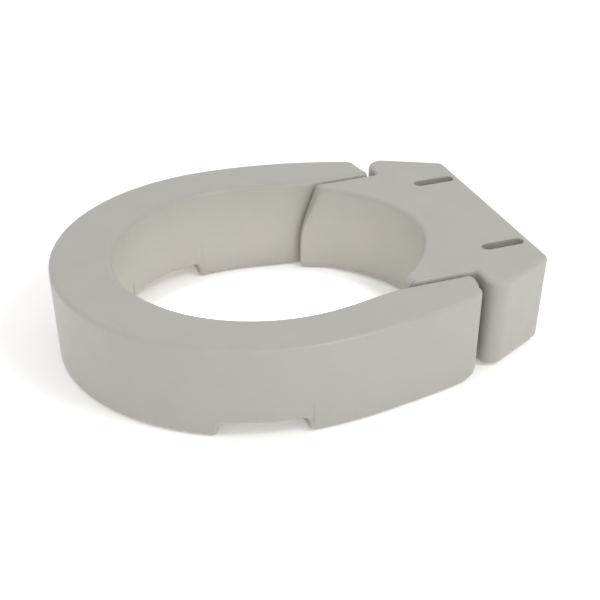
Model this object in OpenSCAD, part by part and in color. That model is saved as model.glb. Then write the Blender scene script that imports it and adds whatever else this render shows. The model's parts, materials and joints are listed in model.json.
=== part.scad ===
// Hinged toilet-seat riser: a hollow U-shaped seat ring swings up from a hollow rear base.
// Millimetres. +X is the user's left-right, +Y runs from the front tip to the rear edge, +Z is up.
// The origin is on the bowl rim, in the middle of the overall length and width.

/* [Overall] */
// Width across the seat ring
overall_w = 343; // [336:1:356]
// Length from the front tip to the rear edge
overall_l = 434; // [430:1:442]
// Height from the rubber pads to the top of the seat
overall_h = 91; // [86:1:100]
// Wall thickness of the two hollow mouldings
wall = 4; // [3:0.5:5]
// Rounding of the top edges
top_r = 4.5; // [3:0.5:6]

/* [Seat ring] */
// Width of the ring at the front tip
band_w = 57; // [52:1:60]
// Width of the opening at its widest
opening_w = 244; // [240:1:250]
// Where the outside is widest
widest_y = -25; // [-30:1:-20]
// Where the opening is widest
opening_y = -23; // [-28:1:-20]
// Distance between the inner faces of the two arms
arm_gap_w = 218; // [217:0.5:220]
// Width across the outer corners of the arm ends
arm_end_w = 278; // [274:1:284]
// End faces of the arms
arm_end_y = 137; // [134:0.5:137]
// Rounding of an arm end's outer upright corner
arm_outer_r = 14; // [10:1:16]
// Rounding of an arm end's inner upright corner
arm_inner_r = 7; // [5:1:9]
// Rounding of an arm end's top edge
arm_top_r = 8; // [5:0.5:9]
// Rounding of an arm end's lower rear corner, which clears the rim as the ring swings
arm_heel_r = 24; // [20:1:26]
// Rounding of the ring's bottom edges
ring_foot_r = 3.5; // [2:0.5:5]
// How far the ring's outer wall leans in towards the bottom
ring_draft = 6; // [0:0.5:7]
// How far the opening's wall leans into the opening towards the bottom
opening_draft = 4; // [0:0.5:5]

/* [Side notches] */
// Front end of the two notches under the ring
notch_front_y = -120; // [-124:1:-116]
// Rear end of the two notches
notch_rear_y = -43; // [-47:1:-39]
// Height of the notches above the ring's bottom
notch_h = 14; // [10:0.5:16]
// Rounding of the notch corners
notch_r = 5; // [3:0.5:7]

/* [Rear base] */
// Width of the block at its front face
block_front_w = 286; // [282:1:290]
// Width of the block at its rear edge
block_rear_w = 211; // [204:1:214]
// Front face of the block, behind the arm ends
block_front_y = 142; // [141:0.5:143]
// Rounding of the block's two front corners
block_front_r = 14; // [10:1:16]
// Rounding of the block's two rear corners
block_rear_r = 9; // [8:1:12]
// Width of the tongue between the arms
tongue_w = 209; // [208:0.5:210]
// Deepest point of the opening's rear arc
arc_apex_y = 133; // [130:1:134]
// How far the rear arc falls forward at 100 mm from the middle
arc_fall = 65; // [62:1:70]
// How far the two horns reach forward of that arc
horn_reach = 18; // [12:1:18]
// Rounding of a horn's foremost edge
horn_r = 3; // [2.5:0.5:4]
// Rear end of a horn's sloping nose, at the top
nose_top_y = 77; // [74:1:79]
// Height at which a horn's nose stands upright
nose_low_z = 36; // [30:1:40]
// Foremost point of a horn's nose
nose_low_y = 57; // [54:1:60]

/* [Bolt slots] */
// Distance between the two slots, the standard hole spacing of a bowl
slot_spacing = 139.7; // [139.7:0.1:139.7]
// Middle of the slots
slot_y = 188.5; // [187:0.5:189]
// Length of a slot
slot_l = 42; // [38:1:44]
// Width of a slot
slot_w = 11; // [9:0.5:12]

/* [Hinge] */
// Hinge axis, measured along the length
hinge_y = 104; // [103:0.5:105]
// Depth of the hinge axis below the top
hinge_depth = 20; // [19:0.5:22]
// Diameter of a hinge pin
pin_d = 8; // [7:0.5:9]
// Length of a hinge pin
pin_l = 54; // [48:1:56]
// Outer diameter of a hinge bushing
bushing_d = 14; // [12:0.5:16]
// Length of a hinge bushing
bushing_l = 22; // [18:1:24]
// Outer diameter of a spacer washer
washer_d = 22; // [18:1:24]
// Thickness of a spacer washer
washer_t = 3.9; // [3.5:0.1:4.1]

/* [Rubber pads] */
// Diameter of a pad
pad_d = 22; // [18:1:24]
// Thickness of a pad
pad_t = 2.5; // [2:0.5:3]
// How far a pad stands out of the moulding
pad_proud = 1; // [0.5:0.5:1.5]

/* [Hidden] */

$fn = 48;
arc_steps = 3;          // steps in each rounded corner of a section
front_steps = 36;       // stations round the front half of the ring
arm_steps = 8;          // stations along each arm, before its rounded end
end_steps = 5;          // stations in each rounded arm end
run_gap = 0.05;         // running clearance round a hinge pin
cut = 1;                // how far a cutter reaches past a face

ivory = [0.90, 0.89, 0.85];
steel = [0.62, 0.63, 0.65];
nylon = [0.93, 0.93, 0.90];
dark_rubber = [0.16, 0.16, 0.17];

half_w = overall_w / 2;
half_l = overall_l / 2;
foot_z = pad_proud;
half_open = opening_w / 2;
arm_in = arm_gap_w / 2;
tongue = tongue_w / 2;
front_out = widest_y + half_l;
front_in = opening_y + half_l - band_w;
// The outside narrows towards the arm ends along a parabola.
side_bow = (half_w - arm_end_w / 2) / pow(arm_end_y - widest_y, 2);
// The opening narrows to the arms' parallel inner faces within this length.
blend_l = 94;
upright_y = 70;
hinge_z = overall_h - hinge_depth;
arc_k = arc_fall / pow(100, 2);
// The horns leave the rear arc at this distance from the middle.
horn_from = 82;
// Rounding of a horn's cavity, which ends well behind the nose.
horn_cavity_r = 12;
pin_in = arm_in + bushing_l - pin_l;
boss_d = bushing_d + 2 * wall + 2;
pad_angle = 34;
side_pad_y = 15;
base_pad_x = 112;
base_pad_y = 158;

// ---- shared shapes ----

function mix(a, b, t) = a + (b - a) * t;

// Points along a circular arc from angle a0 to angle a1.
function arc_points(centre, r, a0, a1, steps) =
    [for (i = [0 : steps]) let (a = mix(a0, a1, i / steps)) centre + r * [cos(a), sin(a)]];

// How far a quarter-round end of radius r pulls in at a distance s from the end.
function round_in(s, r) = s >= r ? 0 : r - sqrt(r * r - pow(r - s, 2));

// One closed skin through a list of equal loops of points.
module loft(loops) {
    n = len(loops[0]);
    last = len(loops) - 1;
    points = [for (loop = loops) each loop];
    sides = [for (i = [0 : last - 1], j = [0 : n - 1])
        let (a = i * n + j, b = i * n + (j + 1) % n)
            each [[a, a + n, b + n], [a, b + n, b]]];
    near_cap = [for (j = [0 : n - 1]) j];
    far_cap = [for (j = [n - 1 : -1 : 0]) last * n + j];
    polyhedron(points = points, faces = concat([near_cap], sides, [far_cap]), convexity = 8);
}

// A rod along X whose near end is at x.
module rod_x(x, d, l) {
    translate([x, hinge_y, hinge_z]) rotate([0, 90, 0]) cylinder(d = d, h = l);
}

module each_side() {
    children();
    mirror([1, 0, 0]) children();
}

// ---- seat ring ----

function outer_x(y) = half_w - side_bow * pow(y - widest_y, 2);

function inner_x(y) =
    let (t = min(1, (y - opening_y) / blend_l))
        arm_in + (half_open - arm_in) * pow(1 - t * t, 2);

// The opening's wall stands upright where it runs beside the tongue.
function lean_share(y) = min(1, max(0, (upright_y - y) / blend_l));

// The outer wall comes nearly upright towards the arm's end.
function draft_share(y) = min(1, 0.15 + (arm_end_y - y) / blend_l);

// Distances from an arm's end face at which its rounded end has stations.
function end_marks() = [for (i = [end_steps : -1 : 0]) arm_heel_r * (1 - cos(90 * i / end_steps))];

// A station is its outer point, its inner point and its distance from the arm's end face.
function arm_station(y, side) =
    let (t = (y - widest_y) / (arm_end_y - widest_y), yi = mix(opening_y, arm_end_y, t))
        [[side * outer_x(y), y], [side * inner_x(yi), yi], arm_end_y - y];

function front_station(a) =
    [[half_w * sin(a), widest_y - front_out * cos(a)],
     [half_open * sin(a), opening_y - front_in * cos(a)],
     arm_end_y];

function arm_ys() = concat(
    [for (i = [1 : arm_steps - 1]) mix(widest_y, arm_end_y - arm_heel_r, i / arm_steps)],
    [for (s = end_marks()) arm_end_y - s]);

function stations() =
    let (ys = arm_ys(), n = len(ys)) concat(
        [for (i = [n - 1 : -1 : 0]) arm_station(ys[i], -1)],
        [for (i = [0 : front_steps]) front_station(mix(-90, 90, i / front_steps))],
        [for (y = ys) arm_station(y, 1)]);

// A rounded rectangle w wide between two heights, inset all round.
function rounded_section(w, z0, z1, rt, rb, inset) =
    let (u0 = inset, u1 = w - inset, b = z0 + inset, t = z1 - inset) concat(
        arc_points([u0 + rb, b + rb], rb, 180, 270, arc_steps),
        arc_points([u1 - rb, b + rb], rb, 270, 360, arc_steps),
        arc_points([u1 - rt, t - rt], rt, 0, 90, arc_steps),
        arc_points([u0 + rt, t - rt], rt, 90, 180, arc_steps));

function ring_loop(station, inset) =
    let (
        s = max(0, station[2] - inset),
        along = station[1] - station[0],
        side_in = round_in(s, arm_outer_r),
        w = norm(along) - side_in - round_in(s, arm_inner_r),
        dir = along / norm(along),
        draft = ring_draft * draft_share(station[0][1]),
        z0 = foot_z + round_in(s, arm_heel_r),
        z1 = overall_h - round_in(s, arm_top_r),
        rt = max(1, top_r - inset),
        rb = max(1, ring_foot_r - inset)
    )
    [for (p = rounded_section(w, z0, z1, rt, rb, inset))
        let (
            slope = mix(draft, opening_draft * lean_share(station[1][1]), p[0] / w),
            lean = slope * (1 - p[1] / overall_h),
            xy = station[0] + dir * (side_in + p[0] + lean)
        )
        [xy[0], xy[1], p[1]]];

module ring_skin(inset) {
    loft([for (s = stations()) if (s[2] >= 2 * inset) ring_loop(s, inset)]);
}

// Both notches at once: a flat-topped tunnel across the whole ring, with flared mouths.
module notch_cutter() {
    r = notch_r;
    low = foot_z - cut;
    top = foot_z + notch_h;
    profile = concat(
        [[notch_front_y - r, low], [notch_rear_y + r, low]],
        arc_points([notch_rear_y + r, foot_z + r], r, 270, 180, arc_steps),
        arc_points([notch_rear_y - r, top - r], r, 0, 90, arc_steps),
        arc_points([notch_front_y + r, top - r], r, 90, 180, arc_steps),
        arc_points([notch_front_y - r, foot_z + r], r, 0, -90, arc_steps));
    translate([-overall_w, 0, 0])
        rotate([90, 0, 90])
            linear_extrude(2 * overall_w) polygon(profile);
}

// A cavity roof that follows the notches, so the wall above them keeps its thickness.
module notch_floor() {
    translate([-overall_w, notch_front_y - wall - notch_r, 0])
        cube([2 * overall_w, notch_rear_y - notch_front_y + 2 * (wall + notch_r),
              foot_z + notch_h + wall]);
}

module ring_cavity() {
    difference() {
        ring_skin(wall);
        notch_floor();
        each_side() rod_x(arm_in - cut, boss_d, bushing_l + wall + 2 * cut);
    }
}

module seat_ring() {
    color(ivory) difference() {
        ring_skin(0);
        ring_cavity();
        notch_cutter();
        each_side() rod_x(arm_in - cut, bushing_d, bushing_l + 2 * cut);
        pad_seats(front_pad_spots());
        pad_seats(side_pad_spots());
    }
}

// ---- rear base ----

function arc_y(x) = arc_apex_y - arc_k * x * x;

// The base's front edge: the rear arc, swept forward towards the horns.
function front_y(x) = arc_y(x) - horn_reach * pow(max(0, x - horn_from) / (tongue - horn_from), 2);

// The two tangent points and the centre of a corner's rounding.
function corner_arc(before, corner, after, r, steps) =
    let (
        u = (before - corner) / norm(before - corner),
        v = (after - corner) / norm(after - corner),
        half = acos(u * v) / 2,
        mid = (u + v) / norm(u + v),
        centre = corner + mid * r / sin(half),
        a = centre - mid * r,
        turn = sign(u[0] * v[1] - u[1] * v[0]),
        sweep = 90 - half,
        a0 = atan2(a[1] - centre[1], a[0] - centre[0])
    )
    arc_points(centre, r, a0 + turn * sweep, a0 - turn * sweep, steps);

// Right half of an outline from its front edge back to the middle of the rear edge.
function right_outline(front_edge) =
    let (
        notch = [tongue, block_front_y],
        front = [block_front_w / 2, block_front_y],
        rear = [block_rear_w / 2, half_l]
    )
    concat(
        front_edge,
        corner_arc([tongue, 0], notch, front, 3, 3),
        corner_arc(notch, front, rear, block_front_r, 6),
        corner_arc(front, rear, [0, half_l], block_rear_r, 6),
        [[0, half_l]]);

function both_halves(right) =
    let (n = len(right)) concat(right, [for (i = [n - 2 : -1 : 1]) [-right[i][0], right[i][1]]]);

// The horns end in narrow noses.
function base_outline() =
    let (last = tongue - horn_r, tip = [tongue, front_y(tongue)])
    both_halves(right_outline(concat(
        [for (i = [0 : 13]) let (x = last * i / 14) [x, front_y(x)]],
        corner_arc([last, front_y(last)], tip, [tongue, block_front_y], horn_r, 6))));

// Where a round end of the cavity meets the rear arc, found by repeated correction.
function horn_meet(x, n) =
    n == 0 ? x : let (s = 2 * arc_k * x, r = horn_cavity_r)
        horn_meet(tongue - r - r * s / sqrt(1 + s * s), n - 1);

// The cavity's outline before it moves inwards: as the base's, with blunt horns.
function cavity_outline() =
    let (
        r = horn_cavity_r,
        xm = horn_meet(tongue - 2 * r, 12),
        tip = [tongue - r, arc_y(xm) + r / sqrt(1 + pow(2 * arc_k * xm, 2))],
        meet = atan2(arc_y(xm) - tip[1], xm - tip[0])
    )
    both_halves(right_outline(concat(
        [for (i = [0 : 11]) let (x = xm * i / 12) [x, arc_y(x)]],
        arc_points(tip, r, meet, 0, 8))));

// The outline moved inwards, each point along the middle of its two edges' normals.
function inset_outline(points, d) =
    let (n = len(points))
    [for (i = [0 : n - 1])
        let (
            e = points[(i + 1) % n] - points[(i + n - 1) % n],
            side = [-e[1], e[0]] / norm(e)
        )
        points[i] + side * d];

// An outline as an upright block that stays inset from the foot and the top.
module upright_block(outline, inset) {
    translate([0, 0, foot_z + inset])
        linear_extrude(overall_h - foot_z - 2 * inset)
            polygon(outline);
}

// Takes the horns' noses back in a slope that rises to the top.
module nose_slope() {
    slope = (nose_top_y - nose_low_y) / (overall_h - nose_low_z);
    high = overall_h + cut;
    profile = [[0, 0], [nose_low_y, 0], [nose_low_y, nose_low_z],
               [nose_top_y + slope * cut, high], [0, high]];
    translate([-overall_w / 2, 0, 0])
        rotate([90, 0, 90])
            linear_extrude(overall_w) polygon(profile);
}

module slot_hole(w, z0, h) {
    run = slot_l - slot_w;
    each_side() translate([slot_spacing / 2, slot_y, z0]) linear_extrude(h) {
        translate([0, -run / 2]) circle(d = w);
        translate([0, run / 2]) circle(d = w);
        translate([-w / 2, -run / 2]) square([w, run]);
    }
}

module base_cavity() {
    difference() {
        upright_block(inset_outline(cavity_outline(), wall), wall);
        slot_hole(slot_w + 2 * wall, 0, overall_h);
        each_side() rod_x(pin_in - wall, boss_d, tongue + 2 * wall - pin_in);
    }
}

module rear_base() {
    color(ivory) difference() {
        upright_block(base_outline(), 0);
        base_cavity();
        nose_slope();
        slot_hole(slot_w, -cut, overall_h + 2 * cut);
        each_side() rod_x(pin_in, pin_d, tongue + cut - pin_in);
        pad_seats(base_pad_spots());
    }
}

// ---- hinge ----

module hinge_pin(side) {
    color(steel) mirror([side < 0 ? 1 : 0, 0, 0]) rod_x(pin_in, pin_d, pin_l);
}

module hinge_bushing(side) {
    color(nylon) mirror([side < 0 ? 1 : 0, 0, 0]) difference() {
        rod_x(arm_in, bushing_d, bushing_l);
        rod_x(arm_in - cut, pin_d + 2 * run_gap, bushing_l + 2 * cut);
    }
}

module hinge_washer(side) {
    gap = arm_in - tongue;
    color(nylon) mirror([side < 0 ? 1 : 0, 0, 0]) difference() {
        rod_x(tongue + (gap - washer_t) / 2, washer_d, washer_t);
        rod_x(tongue - cut, pin_d + 2 * run_gap, gap + 2 * cut);
    }
}

// ---- rubber pads ----

function band_point(a) =
    let (s = front_station(a)) (s[0] + s[1]) / 2;

function front_pad_spots() = [for (side = [-1, 1]) band_point(side * pad_angle)];

function side_pad_spots() =
    [for (side = [-1, 1]) [side * (outer_x(side_pad_y) + inner_x(side_pad_y)) / 2, side_pad_y]];

function base_pad_spots() = [for (side = [-1, 1]) [side * base_pad_x, base_pad_y]];

module pad_seats(spots) {
    for (p = spots) translate([p[0], p[1], 0]) cylinder(d = pad_d, h = pad_t);
}

module pad(spot) {
    color(dark_rubber) translate([spot[0], spot[1], 0]) cylinder(d = pad_d, h = pad_t);
}

seat_ring();
rear_base();
hinge_pin(-1);  // hinge_pin_left
hinge_pin(1);  // hinge_pin_right
hinge_bushing(-1);  // hinge_bushing_left
hinge_bushing(1);  // hinge_bushing_right
hinge_washer(-1);  // hinge_washer_left
hinge_washer(1);  // hinge_washer_right
pad(front_pad_spots()[0]);  // front_pad_left
pad(front_pad_spots()[1]);  // front_pad_right
pad(side_pad_spots()[0]);  // side_pad_left
pad(side_pad_spots()[1]);  // side_pad_right
pad(base_pad_spots()[0]);  // base_pad_left
pad(base_pad_spots()[1]);  // base_pad_right
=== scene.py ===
"""A hinged toilet-seat riser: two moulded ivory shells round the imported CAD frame.

Sizes are in millimetres until a mesh is made. +Y runs from the front tip to the rear edge."""
import json
import math

import bmesh
import bpy
from mathutils import Matrix, Vector, noise
from mathutils.geometry import delaunay_2d_cdt


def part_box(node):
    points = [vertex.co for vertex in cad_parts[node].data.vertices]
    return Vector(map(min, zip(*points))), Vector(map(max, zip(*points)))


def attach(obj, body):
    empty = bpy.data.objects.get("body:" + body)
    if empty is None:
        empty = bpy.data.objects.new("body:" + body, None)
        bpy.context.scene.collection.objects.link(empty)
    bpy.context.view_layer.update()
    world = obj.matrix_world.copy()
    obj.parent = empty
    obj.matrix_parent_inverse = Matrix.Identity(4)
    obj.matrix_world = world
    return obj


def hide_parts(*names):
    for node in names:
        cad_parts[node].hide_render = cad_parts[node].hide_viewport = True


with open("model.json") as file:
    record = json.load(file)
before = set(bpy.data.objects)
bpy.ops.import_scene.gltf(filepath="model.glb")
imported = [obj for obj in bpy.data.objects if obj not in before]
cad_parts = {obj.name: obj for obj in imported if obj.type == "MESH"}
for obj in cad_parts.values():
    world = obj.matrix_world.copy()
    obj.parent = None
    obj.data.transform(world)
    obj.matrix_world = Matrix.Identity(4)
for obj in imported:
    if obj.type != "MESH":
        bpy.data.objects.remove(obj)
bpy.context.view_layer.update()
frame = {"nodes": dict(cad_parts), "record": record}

MM = 0.001

# ---- sizes, from the frame ----

ring_low, ring_high = (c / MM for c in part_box("seat_ring"))
_, base_high = (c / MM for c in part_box("rear_base"))

TOP = ring_high.z                 # top of both mouldings
FOOT = ring_low.z                 # bottom of both mouldings, above the rim by the pads' height
HALF_W = ring_high.x
FRONT_Y = ring_low.y
ARM_END_Y = ring_high.y
REAR_Y = base_high.y

# ---- sizes that the frame's boxes don't give ----

BAND = 57                         # width of the ring at the front tip
HALF_OPENING = 122
WIDEST_Y, OPENING_Y = -25, -23    # where the outside and the opening are widest
ARM_IN = 109                      # the arms' inner faces
ARM_END_OUT = 139                 # the arm ends' outer corners
BLEND_L = 94                      # length in which the opening narrows to the arms
UPRIGHT_Y = 70                    # from here back the opening's wall stands upright
LEAN_OUT, LEAN_IN = 6, 4          # draft of the outer wall and of the opening's wall
LEAN_FADE, ARM_END_LEAN = 90, 0.12  # the outer draft fades over this length, to this share of itself
ARM_OUTER_R, ARM_INNER_R = 14, 7  # rounding of an arm end's upright corners
ARM_TOP_R, ARM_HEEL_R = 8, 24     # rounding of an arm end's top edge and of its lower corner
NOTCH_FRONT, NOTCH_REAR, NOTCH_H, NOTCH_R = -120, -43, 14, 5
RING_TOP_R, RING_FOOT_R = 5.0, 3.5
HEEL_FOOT_R = 0.5                 # the bottom edge's rounding at the arm's end
FAN_END_Y, FAN_STEPS = -132, 46   # sections fan round the front tip as far back as here
STATION_SPACING = 3.2             # between the sections behind the fan

TONGUE = 104.5
BLOCK_FRONT_Y, BLOCK_FRONT, BLOCK_REAR = 142, 143, 105.5
BLOCK_FRONT_R, BLOCK_REAR_R = 14, 9
ARC_APEX_Y, ARC_K = 133, 0.0065
HORN_REACH, HORN_FROM, HORN_R = 18, 82, 3
NOSE_TOP_Y, NOSE_LOW_Y, NOSE_LOW_Z = 77, 57, 36
BASE_TOP_R, BASE_FOOT_R = 5.0, 8.0
TONGUE_ROOT_R = 3.5               # rounding where the tongue meets the block
BASE_LEAN, BASE_LEAN_LEAD, BASE_LEAN_FADE = 3.0, 4, 14  # draft of the block's walls, and its onset
HORN_EDGE, HORN_EDGE_FADE = 0.28, 34  # edges keep this share of their rounding at the noses
NOSE_BLEND = 5                    # rounding between a nose's slope and the front edge
OUTLINE_SPACING, SLOT_SPACING = 5, 4
SLOT_X, SLOT_Y, SLOT_L, SLOT_W, SLOT_EDGE = 69.85, 188.5, 42, 11, 1.6

SKIN_DEPTH, SKIN_SCALE = 0.35, 70.0  # depth and width of the skin's slow unevenness


def mix(a, b, t):
    return a + (b - a) * t


def clamp(t, low=0.0, high=1.0):
    return max(low, min(high, t))


def smooth(t):
    t = clamp(t)
    return t * t * (3 - 2 * t)


def round_in(s, r):
    """How far a quarter-round end of radius r pulls in at a distance s from the end."""
    s = max(0.0, s)
    return 0.0 if s >= r else r - math.sqrt(r * r - (r - s) ** 2)


def make_object(name, bm, material, body):
    """A mesh in millimetres becomes a smooth piece in metres that rides on a CAD body."""
    bmesh.ops.recalc_face_normals(bm, faces=bm.faces)
    bmesh.ops.scale(bm, vec=(MM, MM, MM), verts=bm.verts)
    mesh = bpy.data.meshes.new(name)
    bm.to_mesh(mesh)
    bm.free()
    for p in mesh.polygons:
        p.use_smooth = True
    mesh.materials.append(material)
    piece = bpy.data.objects.new(name, mesh)
    bpy.context.scene.collection.objects.link(piece)
    weighted = piece.modifiers.new("weighted_normals", "WEIGHTED_NORMAL")
    weighted.weight = 80
    weighted.keep_sharp = True
    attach(piece, body)
    return piece


# ---- seat ring ----

FRONT_OUT = WIDEST_Y - FRONT_Y
FRONT_IN = OPENING_Y - FRONT_Y - BAND
SIDE_BOW = (HALF_W - ARM_END_OUT) / (ARM_END_Y - WIDEST_Y) ** 2


def outer_xy(c):
    """The ring's right outer edge: c runs 0 to 1 round the front, then 1 to 2 along the arm."""
    if c <= 1:
        a = math.radians(90 * c)
        return Vector((HALF_W * math.sin(a), WIDEST_Y - FRONT_OUT * math.cos(a)))
    y = mix(WIDEST_Y, ARM_END_Y, c - 1)
    return Vector((HALF_W - SIDE_BOW * (y - WIDEST_Y) ** 2, y))


def inner_xy(c):
    """The opening's right edge, with c as for the outer edge."""
    if c <= 1:
        a = math.radians(90 * c)
        return Vector((HALF_OPENING * math.sin(a), OPENING_Y - FRONT_IN * math.cos(a)))
    y = mix(OPENING_Y, ARM_END_Y, c - 1)
    t = min(1, (y - OPENING_Y) / BLEND_L)
    return Vector((ARM_IN + (HALF_OPENING - ARM_IN) * (1 - t * t) ** 2, y))


def c_at(y, widest, depth):
    """Where an edge curve passes a given y."""
    if y < widest:
        return math.degrees(math.acos(clamp((widest - y) / depth, -1, 1))) / 90
    return 1 + (y - widest) / (ARM_END_Y - widest)


def outer_c(y):
    return c_at(y, WIDEST_Y, FRONT_OUT)


def inner_c(y):
    return c_at(y, OPENING_Y, FRONT_IN)


def wall_point(edge, c, inset, z):
    """A point on an edge curve, moved into the material by inset, at height z."""
    step = 1e-3
    p = edge(c)
    d = edge(min(2, c + step)) - edge(max(0, c - step))
    into = Vector((-d.y, d.x)) if edge is outer_xy else Vector((d.y, -d.x))
    low = 1 - z / TOP
    if edge is outer_xy:
        inset += LEAN_OUT * low * mix(ARM_END_LEAN, 1, smooth((ARM_END_Y - p.y) / LEAN_FADE))
    else:
        inset -= LEAN_IN * low * clamp((UPRIGHT_Y - p.y) / BLEND_L)
    inset += round_in(ARM_END_Y - p.y, ARM_OUTER_R if edge is outer_xy else ARM_INNER_R)
    p = p + into.normalized() * inset
    return Vector((max(0.0, p.x) if c > 0 else 0.0, p.y, z))


def arc_profile(cy, cz, r, a0, a1, steps, outward):
    """Points and inward normals (y, z, ny, nz) round one corner of the ring's bottom profile."""
    side = 1 if outward else -1
    out = []
    for i in range(steps + 1):
        a = math.radians(mix(a0, a1, i / steps))
        out.append((cy + r * math.cos(a), cz + r * math.sin(a),
                    side * math.cos(a), side * math.sin(a)))
    return out


def flat_profile(y0, y1, z):
    n = max(2, round((y1 - y0) / STATION_SPACING))
    return [(mix(y0, y1, i / n), z, 0.0, 1.0) for i in range(1, n)]


def bottom_profile(y_start):
    """The ring's bottom line from y_start back to the arm's end: lip, notch, lip and round heel."""
    r, ceiling = NOTCH_R, FOOT + NOTCH_H
    return (
        [(y_start, FOOT, 0.0, 1.0)]
        + flat_profile(y_start, NOTCH_FRONT - r, FOOT)
        + arc_profile(NOTCH_FRONT - r, FOOT + r, r, -90, 0, 8, False)
        + arc_profile(NOTCH_FRONT + r, ceiling - r, r, 180, 90, 8, True)
        + flat_profile(NOTCH_FRONT + r, NOTCH_REAR - r, ceiling)
        + arc_profile(NOTCH_REAR - r, ceiling - r, r, 90, 0, 8, True)
        + arc_profile(NOTCH_REAR + r, FOOT + r, r, 180, 270, 8, False)
        + flat_profile(NOTCH_REAR + r, ARM_END_Y - ARM_HEEL_R, FOOT)
        + arc_profile(ARM_END_Y - ARM_HEEL_R, FOOT + ARM_HEEL_R, ARM_HEEL_R, -90, 0, 22, False)
    )


def even_tops(profile):
    """The y of each station at the top: as the bottom, but evenly spread where the bottom stands still."""
    ys = [p[0] for p in profile]
    out = list(ys)
    i = 0
    while i < len(ys) - 1:
        j = i
        while j < len(ys) - 1 and abs(profile[j + 1][3]) < 0.999 and ys[j] < ARM_END_Y - ARM_HEEL_R:
            j += 1
        if j > i:
            for k in range(i, j + 1):
                out[k] = mix(ys[i], ys[j], (k - i) / (j - i))
            i = j
        i += 1
    return out


def ring_stations():
    """Right half of the ring, from the front tip to the arm's end."""
    co, ci = outer_c(FAN_END_Y), inner_c(FAN_END_Y)
    stations = [dict(front=True, co=co * i / FAN_STEPS, ci=ci * i / FAN_STEPS, z=FOOT, ny=0.0, nz=1.0)
                for i in range(FAN_STEPS)]
    profile = bottom_profile(FAN_END_Y)
    for (y, z, ny, nz), top_y in zip(profile, even_tops(profile)):
        stations.append(dict(front=False, y=y, top_y=top_y, z=z, ny=ny, nz=nz))
    return stations


def edge_rows(s, edge, to_c, key, foot_r):
    """One side of a section: bottom fillet, wall and top fillet, from the bottom up."""
    steps, wall_rows = 6, 9
    rows = []

    def at(y, c, inset, z):
        return wall_point(edge, c if s["front"] else to_c(min(y, ARM_END_Y)), inset, z)

    y0 = s.get("y", 0.0)
    y1 = s.get("top_y", 0.0)
    c0 = s.get(key)
    for i in range(steps + 1):
        a = math.radians(90 * i / steps)
        lift = foot_r * (1 - math.cos(a))
        rows.append(at(y0 + s["ny"] * lift, c0, foot_r * (1 - math.sin(a)), s["z"] + s["nz"] * lift))
    low_y, low_z = y0 + s["ny"] * foot_r, s["z"] + s["nz"] * foot_r
    end_drop = 0.0 if s["front"] else round_in(ARM_END_Y - y1, ARM_TOP_R)
    high_z = TOP - RING_TOP_R - end_drop
    for i in range(1, wall_rows):
        t = i / wall_rows
        rows.append(at(mix(low_y, y1, smooth(t)), c0, 0.0, mix(low_z, high_z, t)))
    for i in range(steps + 1):
        a = math.radians(90 * i / steps)
        rows.append(at(y1, c0, RING_TOP_R * (1 - math.cos(a)), high_z + RING_TOP_R * math.sin(a)))
    return rows


def ring_loop(s, last_share):
    """One closed section of the ring; last_share runs 0 to 1 along the heel."""
    foot_r = mix(RING_FOOT_R, HEEL_FOOT_R, smooth(last_share))
    outer = edge_rows(s, outer_xy, outer_c, "co", foot_r)
    inner = edge_rows(s, inner_xy, inner_c, "ci", foot_r)
    cross = 6
    top = [outer[-1].lerp(inner[-1], i / cross) for i in range(1, cross)]
    bottom = [inner[0].lerp(outer[0], i / cross) for i in range(1, cross)]
    return outer + top + inner[::-1] + bottom


def waviness(p):
    """Slow, shallow unevenness of a blow-moulded skin, in millimetres."""
    return 0.5 * SKIN_DEPTH * noise.noise(Vector((abs(p.x), p.y, p.z)) / SKIN_SCALE)


def loft(bm, loops, closed_ends):
    """Quads between each loop and the next."""
    rings = [[bm.verts.new(p) for p in loop] for loop in loops]
    n = len(rings[0])
    for a, b in zip(rings, rings[1:]):
        for j in range(n):
            bm.faces.new((a[j], a[(j + 1) % n], b[(j + 1) % n], b[j]))
    if closed_ends:
        bm.faces.new(rings[0])
        bm.faces.new(rings[-1][::-1])


def settle(bm):
    """Moves the skin in by a shallow slow noise, and clamps it between foot and top."""
    bm.normal_update()
    moves = []
    for v in bm.verts:
        inward = 0.5 * SKIN_DEPTH + waviness(v.co)
        moves.append((v, v.normal * -inward))
    for v, m in moves:
        v.co += m
        v.co.z = min(max(v.co.z, FOOT), TOP)


def build_ring(material):
    stations = ring_stations()
    heel = [i for i, s in enumerate(stations) if not s["front"] and s["y"] > ARM_END_Y - ARM_HEEL_R]
    loops = []
    for i, s in enumerate(stations):
        share = (i - heel[0]) / (len(heel) - 1) if i >= heel[0] else 0.0
        loops.append(ring_loop(s, share))
    left = [[Vector((-p.x, p.y, p.z)) for p in loop] for loop in loops[:0:-1]]
    bm = bmesh.new()
    loft(bm, left + loops, True)
    bmesh.ops.remove_doubles(bm, verts=bm.verts, dist=1e-4)
    bmesh.ops.recalc_face_normals(bm, faces=bm.faces)
    settle(bm)
    ring = make_object("ring_shell", bm, material, "ring")
    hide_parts("seat_ring")


# ---- rear base ----


def arc_points(centre, r, a0, a1, steps):
    return [centre + Vector((r * math.cos(math.radians(mix(a0, a1, i / steps))),
                             r * math.sin(math.radians(mix(a0, a1, i / steps)))))
            for i in range(steps + 1)]


def corner_arc(before, corner, after, r, steps):
    """The rounding of one corner of an outline."""
    u, v = (before - corner).normalized(), (after - corner).normalized()
    half = math.acos(clamp(u.dot(v), -1, 1)) / 2
    mid = (u + v).normalized()
    centre = corner + mid * (r / math.sin(half))
    start = math.degrees(math.atan2(-mid.y, -mid.x))
    turn = 1 if u.x * v.y - u.y * v.x > 0 else -1
    sweep = 90 - math.degrees(half)
    return arc_points(centre, r, start + turn * sweep, start - turn * sweep, steps)


def arc_y(x):
    return ARC_APEX_Y - ARC_K * x * x


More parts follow.
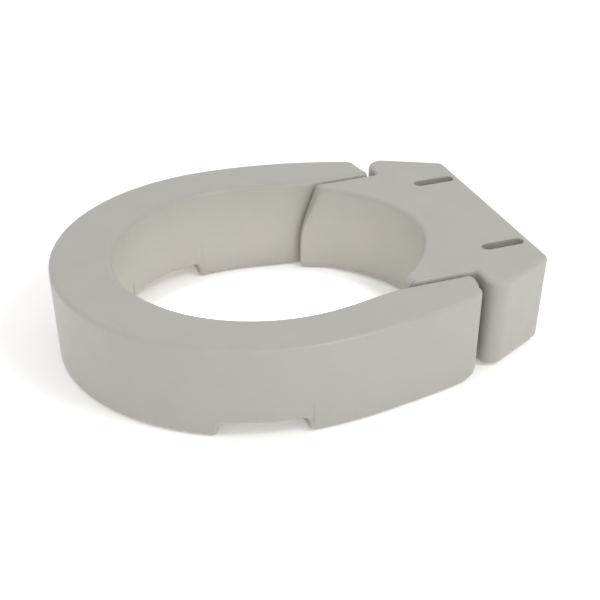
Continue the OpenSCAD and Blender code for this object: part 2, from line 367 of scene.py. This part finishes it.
def front_y(x):
    """The base's front edge: the rear arc, swept forward towards the horns."""
    return arc_y(x) - HORN_REACH * (max(0.0, x - HORN_FROM) / (TONGUE - HORN_FROM)) ** 2


def base_outline():
    """The base from above, anticlockwise from the middle of the rear arc."""
    last = TONGUE - HORN_R
    tip = Vector((TONGUE, front_y(TONGUE)))
    inside = Vector((TONGUE, BLOCK_FRONT_Y))
    front = Vector((BLOCK_FRONT, BLOCK_FRONT_Y))
    rear = Vector((BLOCK_REAR, REAR_Y))
    arc_steps = 30
    xs = [last * i / arc_steps for i in range(arc_steps - 2)]
    right = [Vector((x, front_y(x))) for x in xs]
    right += corner_arc(Vector((last, front_y(last))), tip, inside, HORN_R, 14)
    right += corner_arc(tip, inside, front, TONGUE_ROOT_R, 6)
    right += corner_arc(inside, front, rear, BLOCK_FRONT_R, 14)
    right += corner_arc(front, rear, Vector((0, REAR_Y)), BLOCK_REAR_R, 12)
    right.append(Vector((0, REAR_Y)))
    dense = []
    for a, b in zip(right, right[1:]):
        n = max(1, round((b - a).length / OUTLINE_SPACING))
        dense += [a.lerp(b, i / n) for i in range(n)]
    dense.append(right[-1])
    return dense + [Vector((-p.x, p.y)) for p in dense[-2:0:-1]]


def outline_normals(points):
    n = len(points)
    out = []
    for i in range(n):
        e = points[(i + 1) % n] - points[i - 1]
        out.append(Vector((-e.y, e.x)).normalized())
    return out


def slot_outline(side, grow):
    """A bolt slot's edge, grown outwards where its rim is rounded."""
    steps = 10
    half = SLOT_L / 2 - SLOT_W / 2
    r = SLOT_W / 2 + grow
    c = Vector((side * SLOT_X, SLOT_Y))
    rear = arc_points(c + Vector((0, half)), r, 0, 180, steps)
    front = arc_points(c - Vector((0, half)), r, 180, 360, steps)
    out = []
    pts = rear + front
    for a, b in zip(pts, pts[1:] + pts[:1]):
        n = max(1, round((b - a).length / SLOT_SPACING))
        out += [a.lerp(b, i / n) for i in range(n)]
    return out


def inside_polygon(p, polygon):
    inside = False
    for a, b in zip(polygon, polygon[1:] + polygon[:1]):
        if (a.y > p.y) != (b.y > p.y) and p.x < mix(a.x, b.x, (p.y - a.y) / (b.y - a.y)):
            inside = not inside
    return inside


def far_from(p, loops, gap):
    return all((p - q).length > gap for loop in loops for q in loop)


def cap(bm, outline, holes, z):
    """A flat face with holes, in near-even triangles."""
    spacing, row_pitch, clear = 7.0, 0.87, 0.55
    loops = [outline] + holes
    points, edges = [], []
    for loop in loops:
        start = len(points)
        points += loop
        edges += [(start + i, start + (i + 1) % len(loop)) for i in range(len(loop))]
    xs, ys = [p.x for p in outline], [p.y for p in outline]
    rows = int((max(ys) - min(ys)) / spacing)
    cols = int((max(xs) - min(xs)) / spacing)
    for r in range(rows + 1):
        for c in range(cols + 1):
            p = Vector((min(xs) + (c + 0.5 * (r % 2)) * spacing, min(ys) + r * spacing * row_pitch))
            if inside_polygon(p, outline) and far_from(p, loops, clear * spacing):
                if not any(inside_polygon(p, h) for h in holes):
                    points.append(p)
    verts, _, faces, _, _, _ = delaunay_2d_cdt(points, edges, [], 0, 1e-6)
    made = [bm.verts.new((v.x, v.y, z)) for v in verts]
    for f in faces:
        mid = sum((verts[i] for i in f), Vector((0, 0))) / 3
        if inside_polygon(mid, outline) and not any(inside_polygon(mid, h) for h in holes):
            bm.faces.new([made[i] for i in f])
    for v in [v for v in made if not v.link_faces]:
        bm.verts.remove(v)


def rounded_levels(low_r, high_r, steps=7):
    """(z, inset) from the bottom edge to the top edge of an upright wall with rounded edges."""
    wall_rows = 10
    out = []
    for i in range(steps + 1):
        a = math.radians(90 * i / steps)
        out.append((FOOT + low_r * (1 - math.cos(a)), low_r * (1 - math.sin(a))))
    for i in range(1, wall_rows):
        out.append((mix(FOOT + low_r, TOP - high_r, i / wall_rows), 0.0))
    for i in range(steps + 1):
        a = math.radians(90 * i / steps)
        out.append((TOP - high_r * (1 - math.sin(a)), high_r * (1 - math.cos(a))))
    return out


def soft_max(a, b, reach):
    """The larger of two numbers, rounded over where they are nearly equal."""
    h = max(reach - abs(a - b), 0) / reach
    return max(a, b) + h * h * reach / 4


def base_loop(points, normals, z, inset):
    """The base's outline at one height: edges round less on the horns, whose noses slope."""
    slope = (NOSE_TOP_Y - NOSE_LOW_Y) / (TOP - NOSE_LOW_Z)
    nose_y = NOSE_LOW_Y + slope * max(0.0, z - NOSE_LOW_Z)
    out = []
    for p, n in zip(points, normals):
        share = mix(HORN_EDGE, 1, smooth((p.y - NOSE_LOW_Y) / HORN_EDGE_FADE))
        onset = smooth((p.y - BLOCK_FRONT_Y + BASE_LEAN_LEAD) / BASE_LEAN_FADE)
        lean = BASE_LEAN * (1 - z / TOP) * onset
        q = p + n * (inset * share + lean)
        out.append(Vector((q.x, soft_max(q.y, nose_y + inset, NOSE_BLEND), z)))
    return out


def build_base(material):
    outline = base_outline()
    normals = outline_normals(outline)
    bm = bmesh.new()
    levels = rounded_levels(BASE_FOOT_R, BASE_TOP_R)
    loops = [base_loop(outline, normals, z, inset) for z, inset in levels]
    loft(bm, loops, False)
    slots = []
    for side in (-1, 1):
        rings = [[Vector((p.x, p.y, z)) for p in slot_outline(side, inset)]
                 for z, inset in rounded_levels(SLOT_EDGE, SLOT_EDGE, 5)]
        loft(bm, rings, False)
        slots.append(rings)
    for end, z in ((0, FOOT), (-1, TOP)):
        flat = [Vector((p.x, p.y)) for p in loops[end]]
        holes = [[Vector((p.x, p.y)) for p in rings[end]] for rings in slots]
        cap(bm, flat, holes, z)
    bmesh.ops.remove_doubles(bm, verts=bm.verts, dist=1e-3)
    bmesh.ops.recalc_face_normals(bm, faces=bm.faces)
    settle(bm)
    base = make_object("base_shell", bm, material, "base")
    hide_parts("rear_base")


# ---- rubber pads ----


def build_pad(node, body, material):
    """A ribbed rubber foot, turned from a profile of (radius, height)."""
    low, high = (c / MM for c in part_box(node))
    centre = (low + high) / 2
    r, top, bottom = (high.x - low.x) / 2, high.z, low.z
    groove, mouth, bed = 0.35, 0.9, 0.6  # a groove's depth, and half its width at mouth and bed
    edge, bevel = 0.5, 0.3
    profile = [(0, top), (r - bevel, top), (r, top - bevel), (r, bottom + edge), (r - edge, bottom)]
    for k in range(3):
        inner = r * (0.72 - 0.22 * k)
        profile += [(inner + mouth, bottom), (inner + bed, bottom + groove),
                    (inner - bed, bottom + groove), (inner - mouth, bottom)]
    profile.append((0, bottom))
    bm = bmesh.new()
    around = 48
    rings = []
    for pr, pz in profile:
        if pr == 0:
            rings.append([bm.verts.new((centre.x, centre.y, pz))])
        else:
            rings.append([bm.verts.new((centre.x + pr * math.cos(2 * math.pi * i / around),
                                        centre.y + pr * math.sin(2 * math.pi * i / around), pz))
                          for i in range(around)])
    for a, b in zip(rings, rings[1:]):
        for i in range(around):
            j = (i + 1) % around
            corners = [a[i % len(a)], a[j % len(a)], b[j % len(b)], b[i % len(b)]]
            bm.faces.new(list(dict.fromkeys(corners)))
    pad = make_object(node + "_moulded", bm, material, body)
    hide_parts(node)


# ---- materials ----


def new_material(name):
    m = bpy.data.materials.new(name)
    m.use_nodes = True
    tree = m.node_tree
    shader = tree.nodes["Principled BSDF"]
    place = tree.nodes.new("ShaderNodeTexCoord")
    return m, tree, shader, place.outputs["Object"]


def noise_node(tree, place, scale, detail=3.0, roughness=0.5):
    n = tree.nodes.new("ShaderNodeTexNoise")
    n.inputs["Scale"].default_value = scale
    n.inputs["Detail"].default_value = detail
    n.inputs["Roughness"].default_value = roughness
    tree.links.new(place, n.inputs["Vector"])
    return n.outputs["Fac"]


def ramp(tree, fac, stops):
    r = tree.nodes.new("ShaderNodeValToRGB")
    r.color_ramp.elements[0].position, r.color_ramp.elements[0].color = stops[0]
    r.color_ramp.elements[1].position, r.color_ramp.elements[1].color = stops[-1]
    for position, color in stops[1:-1]:
        r.color_ramp.elements.new(position).color = color
    tree.links.new(fac, r.inputs["Fac"])
    return r.outputs["Color"]


def map_range(tree, value, low, high, from_low=0.3, from_high=0.7):
    m = tree.nodes.new("ShaderNodeMapRange")
    for name, v in (("From Min", from_low), ("From Max", from_high), ("To Min", low), ("To Max", high)):
        m.inputs[name].default_value = v
    tree.links.new(value, m.inputs["Value"])
    return m.outputs["Result"]


def bump(tree, height, distance, strength, base=None):
    b = tree.nodes.new("ShaderNodeBump")
    b.inputs["Strength"].default_value = strength
    b.inputs["Distance"].default_value = distance
    tree.links.new(height, b.inputs["Height"])
    if base is not None:
        tree.links.new(base, b.inputs["Normal"])
    return b.outputs["Normal"]


def rgba(r, g, b):
    return (r, g, b, 1.0)


IVORY = (0.408, 0.398, 0.360)


def ivory_plastic(name, shift):
    """Satin blow-moulded polyethylene: faint clouding, slow waviness and a fine orange-peel grain."""
    m, tree, shader, place = new_material(name)
    r, g, b = (c * shift for c in IVORY)
    cloud = noise_node(tree, place, 24, 8, 0.72)
    tone = ramp(tree, cloud, [(0.30, rgba(r * 0.975, g * 0.970, b * 0.955)),
                              (0.50, rgba(r, g, b)),
                              (0.72, rgba(r * 1.02, g * 1.02, b * 1.03))])
    tree.links.new(tone, shader.inputs["Base Color"])
    polish = noise_node(tree, place, 60, 5, 0.6)
    tree.links.new(map_range(tree, polish, 0.32, 0.42), shader.inputs["Roughness"])
    wave = bump(tree, noise_node(tree, place, 42, 2, 0.4), 0.0006, 0.45)
    grain = bump(tree, noise_node(tree, place, 480, 2, 0.5), 0.00012, 0.45, wave)
    fine = bump(tree, noise_node(tree, place, 1900, 2, 0.6), 0.00003, 0.35, grain)
    tree.links.new(fine, shader.inputs["Normal"])
    shader.inputs["IOR"].default_value = 1.52
    shader.inputs["Specular IOR Level"].default_value = 0.42
    shader.inputs["Subsurface Weight"].default_value = 0.18
    shader.inputs["Subsurface Radius"].default_value = (1.0, 0.82, 0.5)
    shader.inputs["Subsurface Scale"].default_value = 0.007
    return m


def turned_steel():
    """Steel rod with fine rings from turning, along X."""
    m, tree, shader, place = new_material("turned_steel")
    wave = tree.nodes.new("ShaderNodeTexWave")
    wave.bands_direction = "X"
    wave.inputs["Scale"].default_value = 900
    wave.inputs["Distortion"].default_value = 1.5
    tree.links.new(place, wave.inputs["Vector"])
    mottled = noise_node(tree, place, 300)
    tone = ramp(tree, mottled, [(0.3, rgba(0.50, 0.51, 0.53)), (0.7, rgba(0.62, 0.63, 0.65))])
    tree.links.new(tone, shader.inputs["Base Color"])
    tree.links.new(map_range(tree, mottled, 0.24, 0.38), shader.inputs["Roughness"])
    tree.links.new(bump(tree, wave.outputs["Fac"], 0.00003, 0.6), shader.inputs["Normal"])
    shader.inputs["Metallic"].default_value = 1.0
    return m


def bearing_nylon():
    """Waxy natural nylon of the bushings and washers."""
    m, tree, shader, place = new_material("bearing_nylon")
    cloud = noise_node(tree, place, 220, 3)
    tone = ramp(tree, cloud, [(0.3, rgba(0.72, 0.71, 0.65)), (0.7, rgba(0.80, 0.79, 0.74))])
    tree.links.new(tone, shader.inputs["Base Color"])
    tree.links.new(map_range(tree, cloud, 0.36, 0.5), shader.inputs["Roughness"])
    tree.links.new(bump(tree, noise_node(tree, place, 1500), 0.00004, 0.5), shader.inputs["Normal"])
    shader.inputs["Subsurface Weight"].default_value = 0.12
    shader.inputs["Subsurface Scale"].default_value = 0.003
    return m


def pad_rubber():
    """Dusty dark rubber."""
    m, tree, shader, place = new_material("pad_rubber")
    dust = noise_node(tree, place, 260, 5, 0.65)
    tone = ramp(tree, dust, [(0.35, rgba(0.028, 0.028, 0.030)), (0.75, rgba(0.062, 0.060, 0.058))])
    tree.links.new(tone, shader.inputs["Base Color"])
    tree.links.new(map_range(tree, dust, 0.62, 0.85), shader.inputs["Roughness"])
    tree.links.new(bump(tree, noise_node(tree, place, 2200, 4), 0.00005, 0.7), shader.inputs["Normal"])
    return m


FLOOR_GLOW, WELL_GLOW = 0.22, 1.36  # emission of the whole floor, and inside the opening
GLOW_Y, GLOW_HALF_W, GLOW_HALF_L = -0.015, 0.115, 0.135


def floor_material():
    m, tree, shader, place = new_material("pale_floor")
    tone = ramp(tree, noise_node(tree, place, 3, 2), [(0.3, rgba(0.93, 0.93, 0.93)),
                                                      (0.7, rgba(0.95, 0.95, 0.95))])
    tree.links.new(tone, shader.inputs["Base Color"])
    shader.inputs["Roughness"].default_value = 0.9
    shader.inputs["Specular IOR Level"].default_value = 0.1
    # The whole floor glows a little, and an ellipse inside the opening lights its walls from below.
    offset = tree.nodes.new("ShaderNodeVectorMath")
    offset.operation = "SUBTRACT"
    offset.inputs[1].default_value = (0, GLOW_Y, 0)
    tree.links.new(place, offset.inputs[0])
    squash = tree.nodes.new("ShaderNodeVectorMath")
    squash.operation = "MULTIPLY"
    squash.inputs[1].default_value = (1 / GLOW_HALF_W, 1 / GLOW_HALF_L, 0)
    tree.links.new(offset.outputs["Vector"], squash.inputs[0])
    reach = tree.nodes.new("ShaderNodeVectorMath")
    reach.operation = "LENGTH"
    tree.links.new(squash.outputs["Vector"], reach.inputs[0])
    glow = map_range(tree, reach.outputs["Value"], WELL_GLOW, FLOOR_GLOW, 0.55, 1.0)
    tree.links.new(glow, shader.inputs["Emission Strength"])
    shader.inputs["Emission Color"].default_value = rgba(1, 0.95, 0.90)
    return m


# ---- the object ----

ring_plastic = ivory_plastic("ring_ivory", 1.0)
base_plastic = ivory_plastic("base_ivory", 0.995)
steel = turned_steel()
nylon = bearing_nylon()
rubber = pad_rubber()

build_ring(ring_plastic)
build_base(base_plastic)
for body, members in frame["record"]["behaviour"]["bodies"].items():
    for node in members:
        if "_pad_" in node:
            build_pad(node, body, rubber)
        elif "_pin_" in node or "_bushing_" in node or "_washer_" in node:
            cad = frame["nodes"][node]
            finish_material = steel if "_pin_" in node else nylon
            for i in range(len(cad.material_slots)):
                cad.material_slots[i].material = finish_material

# ---- camera, light and floor ----

CAMERA_AZ, CAMERA_EL, CAMERA_ROLL = 66.7, 30.75, 1.36
CAMERA_DISTANCE, CAMERA_TARGET = 1249.0, Vector((98.6, -26.0, TOP))
FOCAL_PX, FRAME_PX, SENSOR_MM = 1458.6, 600, 36.0
SKY_COLOR, SKY_STRENGTH = (0.985, 0.995, 1), 0.87
FLOOR_HALF = 6.0


def add_camera():
    az, el = math.radians(CAMERA_AZ), math.radians(CAMERA_EL)
    back = Vector((math.sin(az) * math.cos(el), -math.cos(az) * math.cos(el), math.sin(el)))
    right = Vector((0, 0, 1)).cross(back).normalized()
    up = back.cross(right)
    roll = math.radians(CAMERA_ROLL)
    right, up = (math.cos(roll) * right + math.sin(roll) * up,
                 math.cos(roll) * up - math.sin(roll) * right)
    data = bpy.data.cameras.new("camera")
    data.sensor_width = SENSOR_MM
    data.lens = FOCAL_PX / FRAME_PX * SENSOR_MM
    camera = bpy.data.objects.new("camera", data)
    place = (CAMERA_TARGET + back * CAMERA_DISTANCE) * MM
    camera.matrix_world = Matrix.Translation(place) @ Matrix((right, up, back)).transposed().to_4x4()
    bpy.context.scene.collection.objects.link(camera)
    bpy.context.scene.camera = camera


def add_floor():
    bm = bmesh.new()
    bmesh.ops.create_grid(bm, x_segments=8, y_segments=8, size=FLOOR_HALF)
    mesh = bpy.data.meshes.new("floor")
    bm.to_mesh(mesh)
    bm.free()
    mesh.materials.append(floor_material())
    floor = bpy.data.objects.new("floor", mesh)
    bpy.context.scene.collection.objects.link(floor)


def add_area(name, place, target, size, power):
    data = bpy.data.lights.new(name, "AREA")
    data.shape = "DISK"
    data.size = size
    data.energy = power
    light = bpy.data.objects.new(name, data)
    light.location = place
    light.rotation_euler = (Vector(target) - Vector(place)).to_track_quat("-Z", "Y").to_euler()
    bpy.context.scene.collection.objects.link(light)


def add_lights():
    world = bpy.data.worlds.new("studio")
    world.use_nodes = True
    sky = world.node_tree.nodes["Background"]
    sky.inputs["Color"].default_value = rgba(*SKY_COLOR)
    sky.inputs["Strength"].default_value = SKY_STRENGTH
    bpy.context.scene.world = world
    add_area("edge", place=(1.02, 0.62, 1.6), target=(0, 0, 0), size=0.5, power=9)
    add_area("front", place=(1.58, -0.68, 1.02), target=(0, 0, 0.05), size=1.2, power=1.6)


add_camera()
add_floor()
add_lights()
bpy.context.scene.view_settings.view_transform = "Standard"
